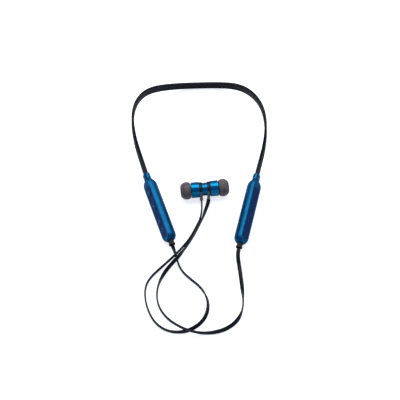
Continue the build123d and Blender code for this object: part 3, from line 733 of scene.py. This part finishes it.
# ---- strap -------------------------------------------------------------------------------------------------
def add_strap():
    ends = {side: casing_frame(side) for side in ("left", "right")}
    inner = {
        side: [(at @ Vector((distance * MM, 0, 0))) / MM for distance in STRAP_STRAIGHT]
        for side, at in ends.items()
    }
    controls = inner["left"] + [Vector(point) for point in STRAP_GUIDE] + inner["right"][::-1]
    route = spline(controls, order=4)
    along = directions(route)
    outline = rounded_rectangle(
        STRAP_THICKNESS / 2, STRAP_HEIGHT / 2, STRAP_CORNER, corner_steps=5, side_steps=40
    )
    ribbed = []
    for a, b in outline:
        on_face = abs(a) > FLAT_SIDE
        dip = sum(math.exp(-(((b - rib) / RIB_WIDTH) ** 2)) for rib in STRAP_RIBS) if on_face else 0.0
        ribbed.append((a - math.copysign(RIB_DEPTH * dip, a), b))
    rings = []
    for i, (point, direction) in enumerate(zip(route, along)):
        inwards = direction.cross(UP).normalized()
        upwards = inwards.cross(direction)
        lean = math.radians(between(STRAP_LEANS, abs(2 * i / (len(route) - 1) - 1)))
        thin = inwards * math.cos(lean) - upwards * math.sin(lean)
        tall = upwards * math.cos(lean) + inwards * math.sin(lean)
        rings.append([point + thin * a + tall * b for a, b in ribbed])
    piece(
        "strap", shape(rings, across=[b for a, b in ribbed]), "strap_rubber", "neckband", ["neckband_strap"],
    )


# ---- casings -----------------------------------------------------------------------------------------------
def casing_form(side, inset=0.0, flat=FLAT_OFFSET, start=SLEEVE_LENGTH, end=HOUSING_END):
    """The rounded casing with one side cut flat; inset makes the smaller form of its hollow."""
    radius = CASING_RADIUS - inset
    rounding = END_ROUNDING - inset
    sections = []
    for step in range(ROUND_STEPS + 1):
        share = 1 - (1 - step / ROUND_STEPS) ** SHOULDER_SPACING
        swell = 1 - (1 - share) ** SHOULDER_FULLNESS
        wide = SHOULDER_START[0] - inset + (CASING_RADIUS - SHOULDER_START[0]) * swell
        tall = SHOULDER_START[1] - inset + (CASING_RADIUS - SHOULDER_START[1]) * swell
        sections.append((start + SHOULDER_LENGTH * share, wide, tall))
    reach = END_REACH - inset
    straight = end - reach - sections[-1][0]
    shoulder_end = sections[-1][0]
    for step in range(1, STRAIGHT_STEPS):
        sections.append((shoulder_end + straight * step / STRAIGHT_STEPS, radius, radius))
    for step in range(ROUND_STEPS + 1):
        turn = math.pi / 2 * step / ROUND_STEPS
        size = radius - rounding * (1 - math.cos(turn))
        sections.append((end - reach + reach * math.sin(turn), size, size))
    turns = [2 * math.pi * i / AROUND for i in range(AROUND)]
    mesh = shape([[(x, wide * math.cos(t), tall * math.sin(t)) for t in turns] for x, wide, tall in sections])
    upright = Matrix.Rotation(math.radians(SLEEVE_ROLL - CASING_ROLLS[side]), 4, "X")
    bmesh.ops.transform(mesh, matrix=upright, verts=mesh.verts)
    bmesh.ops.recalc_face_normals(mesh, faces=mesh.faces)
    everything = mesh.verts[:] + mesh.edges[:] + mesh.faces[:]
    bmesh.ops.bisect_plane(
        mesh, geom=everything, dist=MERGE_DISTANCE, plane_co=(0, flat * MM, 0), plane_no=(0, 1, 0),
        clear_outer=True,
    )
    rim = [edge for edge in mesh.edges if edge.is_boundary]
    bmesh.ops.holes_fill(mesh, edges=rim, sides=0)
    bmesh.ops.bevel(
        mesh, geom=rim, offset=FLAT_EDGE * MM, offset_type="OFFSET", segments=3, profile=0.5, affect="EDGES",
        clamp_overlap=True,
    )
    return mesh


def add_housing(side):
    """The hollow shell with its panel's recess, and on the left the charging pocket."""
    middle = sum(PANEL_SPAN) / 2
    length = PANEL_SPAN[1] - PANEL_SPAN[0]
    shorter, width, bottom = KEY_WELL
    hollow_start = SLEEVE_LENGTH + HOLLOW_MARGINS[0]
    hollow_end = HOUSING_END - HOLLOW_MARGINS[1]
    cuts = [
        casing_form(side, WALL, HOLLOW_FLAT, hollow_start, hollow_end),
        pill(middle, length, PANEL_WIDTH, [(FLAT_OFFSET - PANEL_THICKNESS, 0), (CASING_RADIUS, 0)]),
        pill(middle, length - shorter, width, [(bottom, 0), (CASING_RADIUS, 0)]),
    ]
    if side == "left":
        cuts.append(block(POCKET_SPAN, (-2 * CASING_RADIUS, POCKET_FLOOR), POCKET_SIDES))
        cuts.append(block(*SOCKET_HOLE))
    mesh = casing_form(side)
    for cut in cuts:
        mesh = joined(mesh, cut, "DIFFERENCE")
    weighted(piece(
        f"{side}_casing", mesh, "blue_shell", "neckband", [f"{side}_housing"],
        casing_frame(side),
    ))


def add_sleeve(side):
    """The oval neck that the strap slides into."""
    turns = [2 * math.pi * (i + 0.5) / AROUND for i in range(AROUND)]

    def oval(x, inset):
        wide, tall = SLEEVE_RADII
        return [(x, (wide - inset) * math.cos(t), (tall - inset) * math.sin(t)) for t in turns]

    def opening(x, margin):
        """The strap's outline, at the same turns as the oval."""
        half = (STRAP_THICKNESS / 2 + margin, STRAP_HEIGHT / 2 + margin)
        points = []
        for t in turns:
            c, s = math.cos(t), math.sin(t)
            power = (abs(c) / half[0]) ** SLOT_SQUARENESS + (abs(s) / half[1]) ** SLOT_SQUARENESS
            reach = power ** (-1 / SLOT_SQUARENESS)
            points.append((x, reach * c, reach * s))
        return points

    end = SLEEVE_LENGTH - SLEEVE_GAP
    straight_end = end - SLEEVE_END_EDGE[-1][0]
    straight = straight_end - SLEEVE_STRAIGHT_START
    rings = [oval(end - back, inset) for back, inset in SLEEVE_END_EDGE]
    rings += [oval(straight_end - straight * step / SLEEVE_STEPS, 0) for step in range(1, SLEEVE_STEPS + 1)]
    rings += [oval(x, inset) for x, inset in SLEEVE_MOUTH_EDGE]
    rings += [opening(x, margin) for x, margin in SLEEVE_SLOT]
    rings.append(opening(end, SLEEVE_SLOT[-1][1]))
    piece(
        f"{side}_sleeve", shape(rings, looped=True), "blue_shell", "neckband", [f"{side}_neck_sleeve"],
        casing_frame(side, SLEEVE_ROLL),
    )


def raised(top, levels):
    """The levels, counted from that height."""
    return [(top + height, inset) for height, inset in levels]


def add_panel(side):
    """The flat plate in the casing's face; the left one has holes for the keys and the lens."""
    middle = sum(PANEL_SPAN) / 2
    length = PANEL_SPAN[1] - PANEL_SPAN[0] - PANEL_GAP
    levels = [(FLAT_OFFSET - PANEL_THICKNESS, 0)] + raised(FLAT_OFFSET + PANEL_PROUD, PANEL_EDGE)
    mesh = pill(middle, length, PANEL_WIDTH - PANEL_GAP, levels)
    if side == "left":
        through = [(0, 0), (CASING_RADIUS, 0)]
        key_opening = [size + 2 * KEY_GAP for size in KEY_SIZE]
        for station in KEYS.values():
            mesh = joined(mesh, pill(station, *key_opening, through), "DIFFERENCE")
        lens_opening = [2 * LED_RADIUS + gap for gap in LED_GAPS]
        mesh = joined(mesh, pill(LED_STATION, *lens_opening, through), "DIFFERENCE")
    weighted(piece(
        f"{side}_panel", mesh, "blue_panel", "neckband", [f"{side}_face_panel"],
        casing_frame(side),
    ))


def key_mark(name, station, top):
    """A raised plus, minus or play mark on a key."""
    levels = raised(top, MARK_LEVELS)
    if name == "play":
        rings = []
        for y, inset in levels:
            size = 1 - 2 * inset
            rings.append([(station + x * size, y, z * size) for x, z in PLAY_CORNERS])
        return shape(rings)
    mesh = pill(station, *MARK_SIZE, levels)
    if name == "volume_up":
        upright = pill(0, *MARK_SIZE, levels)
        quarter = Matrix.Translation((station * MM, 0, 0)) @ Matrix.Rotation(math.pi / 2, 4, "Y")
        bmesh.ops.transform(upright, matrix=quarter, verts=upright.verts)
        mesh = joined(mesh, upright, "UNION")
    return mesh


def add_keys():
    at = casing_frame("left")
    top = FLAT_OFFSET + KEY_PROUD
    levels = [(FLAT_OFFSET - KEY_DEPTH, 0)] + raised(top, KEY_CROWN)
    for name, station in KEYS.items():
        key = piece(
            f"{name}_key", pill(station, *KEY_SIZE, levels), "blue_keys", f"key_{name}", [f"button_{name}"],
            at,
        )
        weighted(key)
        mark = key_mark(name, station, top + MARK_HEIGHT)
        piece(f"{name}_mark", mark, "key_print", f"key_{name}", at=at)


def add_led():
    levels = [(FLAT_OFFSET - PANEL_THICKNESS, 0)] + raised(FLAT_OFFSET + PANEL_PROUD, LED_DOME)
    lens = pill(LED_STATION, 2 * LED_RADIUS + LED_STRETCH, 2 * LED_RADIUS, levels)
    piece("status_lens", lens, "lens", "neckband", ["status_led_lens"], casing_frame("left"))


def add_relief(side):
    """Tapered strain relief with two grooves and an end flange."""
    depth, plug = RELIEF_PLUG

    def tapered(distance, cut=0.0, shift=0.0):
        """The section at that distance from the housing, cut in and shifted by that much."""
        share = distance / (CASING_END - HOUSING_END)
        wide, tall = (half - RELIEF_TAPER * share for half in RELIEF_HALF_SIZE)
        return HOUSING_END + distance + shift, wide - cut, tall - cut

    stations = [(HOUSING_END - back, plug, plug) for back in (depth, RELIEF_STEP)]
    stations += [(HOUSING_END, *RELIEF_SHOULDER), tapered(RELIEF_TAPER_SPAN[0])]
    for start in RELIEF_GROOVES:
        end = start + GROOVE_WIDTH
        stations += [
            tapered(start), tapered(start, GROOVE_DEPTH, -GROOVE_UNDERCUT),
            tapered(end, GROOVE_DEPTH, GROOVE_UNDERCUT), tapered(end),
        ]
    stations.append(tapered(RELIEF_TAPER_SPAN[1]))
    stations += [(CASING_END - back, wide, tall) for back, wide, tall in RELIEF_FLANGE]
    rings = []
    for x, wide, tall in stations:
        outline = rounded_rectangle(wide, tall, RELIEF_ROUNDNESS * tall, corner_steps=6)
        rings.append([(x, a, b) for a, b in outline])
    weighted(piece(
        f"{side}_relief", shape(rings), "black_rubber", "neckband", [f"{side}_strain_relief"],
        casing_frame(side, roll=0),
    ))


# ---- earbuds -----------------------------------------------------------------------------------------------
def add_cap(side):
    """The waist, with the magnet's pocket inside and a neck that reaches into the barrel."""
    start, end = CAP_SPAN
    inner, outer = CAP_NECK_RADII
    pocket_start, pocket_end = MAGNET_POCKET
    profile = rounded(
        [(start, 0), (start, CAP_RADIUS), (end, CAP_RADIUS), (end, outer), (CAP_NECK_END, outer),
         (CAP_NECK_END, inner), (pocket_end, inner), (pocket_end, MAGNET_POCKET_RADIUS),
         (pocket_start, MAGNET_POCKET_RADIUS), (pocket_start, 0)],
        CAP_ROUNDING,
    )
    weighted(piece(
        f"{side}_cap", lathe(profile), "blue_metal", f"{side}_earbud", [f"{side}_magnet_cap"],
        earbud_frame(side),
    ))


def add_barrel(side):
    inner = BARREL_RADIUS - BARREL_WALL
    floor = RING_END + BARREL_FLOOR
    profile = rounded(
        [(RING_END, NECK_RADIUS), (RING_END, BARREL_RADIUS), (BARREL_END, BARREL_RADIUS), (BARREL_END, inner),
         (floor, inner), (floor, NECK_RADIUS)],
        BARREL_ROUNDING, closed=True,
    )
    weighted(piece(
        f"{side}_barrel_shell", lathe(profile, looped=True), "blue_metal", f"{side}_earbud",
        [f"{side}_barrel"], earbud_frame(side),
    ))


def add_collar(side):
    """The black ring between cap and barrel, and the boot that grips the cable's end."""
    at = earbud_frame(side)
    ring_start = CAP_SPAN[1]
    profile = rounded(
        [(ring_start, NECK_RADIUS), (ring_start, RING_RADIUS), (RING_END, RING_RADIUS),
         (RING_END, NECK_RADIUS)],
        RING_ROUNDING, closed=True,
    )
    weighted(piece(
        f"{side}_ring", lathe(profile, looped=True), "black_rubber", f"{side}_earbud",
        [f"{side}_cable_collar"], at,
    ))
    start = at @ Vector(((ring_start + RING_END) / 2 * MM, 0, 0))
    end = Vector(CABLE_ROUTES[side][-1]) * MM
    along = (end - start).normalized()
    wide = along.cross(UP).normalized()
    reach = (end - start).length / MM
    boot_at = placement(along, wide, wide.cross(along) * -1, start)
    stations = BOOT_ROOT + [(reach - back, half, above) for back, half, above in BOOT_MOUTH]
    rings = []
    for x, half, above in stations:
        below = min(above, BOOT_DEPTH)
        outline = rounded_rectangle(half, (above + below) / 2, BOOT_ROUNDNESS * half, corner_steps=5)
        rings.append([(x, a, b - (above - below) / 2) for a, b in outline])
    piece(f"{side}_boot", shape(rings), "boot_rubber_painted_highlight", f"{side}_earbud", at=boot_at)


def add_tip(side):
    """The soft dome, folded back at its mouth, and the sleeve that grips the nozzle."""
    at = earbud_frame(side)
    profile = []
    for controls in (TIP_OUTSIDE, TIP_INSIDE):
        curve = spline([(x, radius, 0) for x, radius in controls], order=3, resolution=6)
        profile += [(point.x, point.y) for point in curve]
    piece(
        f"{side}_tip_dome", lathe(profile, looped=True), "tip_silicone", f"{side}_tip", [f"{side}_ear_tip"],
        at, crease=60,
    )
    core = rounded(TIP_CORE, CORE_ROUNDING, closed=True)
    piece(
        f"{side}_tip_sleeve", lathe(core, looped=True), "tip_core", f"{side}_tip", [f"{side}_ear_tip_core"],
        at,
    )


# ---- CAD nodes that stay -----------------------------------------------------------------------------------
def paint_cad_nodes():
    finishes = {
        "neckband_spring": "spring_steel", "neckband_conductors": "conductors",
        "tact_switches": "switch_metal", "left_circuit_board": "board", "chip_shield": "switch_metal",
        "microphone": "switch_metal", "usb_socket": "switch_metal", "usb_cover": "black_rubber",
        "battery": "cell_pouch", "battery_foam": "foam", "battery_protection_board": "board",
    }
    for side in ("left", "right"):
        finishes[f"{side}_strap_anchor"] = "anchor_plastic"
        finishes[f"{side}_magnet"] = "magnet_plate"
        finishes[f"{side}_driver"] = "magnet_plate"
        finishes[f"{side}_nozzle"] = "nozzle_plastic"
        finishes[f"{side}_nozzle_mesh"] = "mesh"
    for name, material in finishes.items():
        data = frame["nodes"][name].data
        data.materials.clear()
        data.materials.append(MATERIALS[material])


add_camera()
for side in ("left", "right"):
    add_cable(side)
add_stage()
add_strap()
for side in ("left", "right"):
    add_housing(side)
    add_sleeve(side)
    add_panel(side)
    add_relief(side)
    add_cap(side)
    add_barrel(side)
    add_collar(side)
    add_tip(side)
add_keys()
add_led()
paint_cad_nodes()
